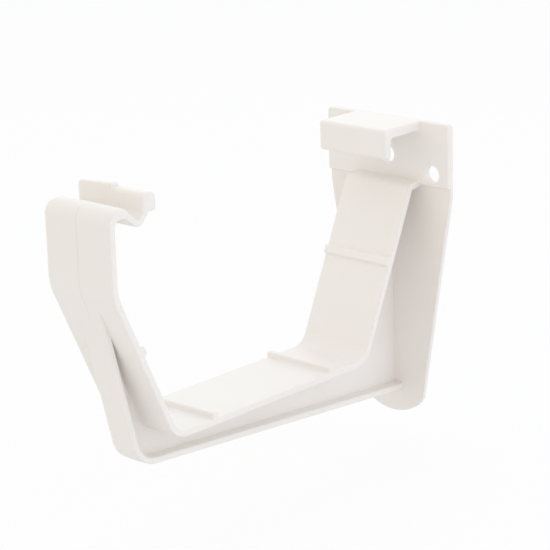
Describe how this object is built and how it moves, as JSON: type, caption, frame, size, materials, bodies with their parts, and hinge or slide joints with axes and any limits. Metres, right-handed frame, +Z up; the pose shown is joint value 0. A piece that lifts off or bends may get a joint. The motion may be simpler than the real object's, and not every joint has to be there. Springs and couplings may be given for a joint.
{
  "type": "gutter bracket",
  "caption": "One-piece fascia bracket for a square-section rain gutter, with snap clips for the gutter's two edges and a ribbed back plate with screw holes.",
  "frame": {"origin": "on the wall face of the plate, on the axis of the middle screw hole", "axes": "+X along the gutter, +Y into the wall, +Z up"},
  "size_m": [0.0432, 0.1204, 0.0894],
  "materials": {
    "plastic": "white, satin moulded PVC-U"
  },
  "bodies": {
    "root": {"bracket": "plastic"}
  },
  "joints": []
}
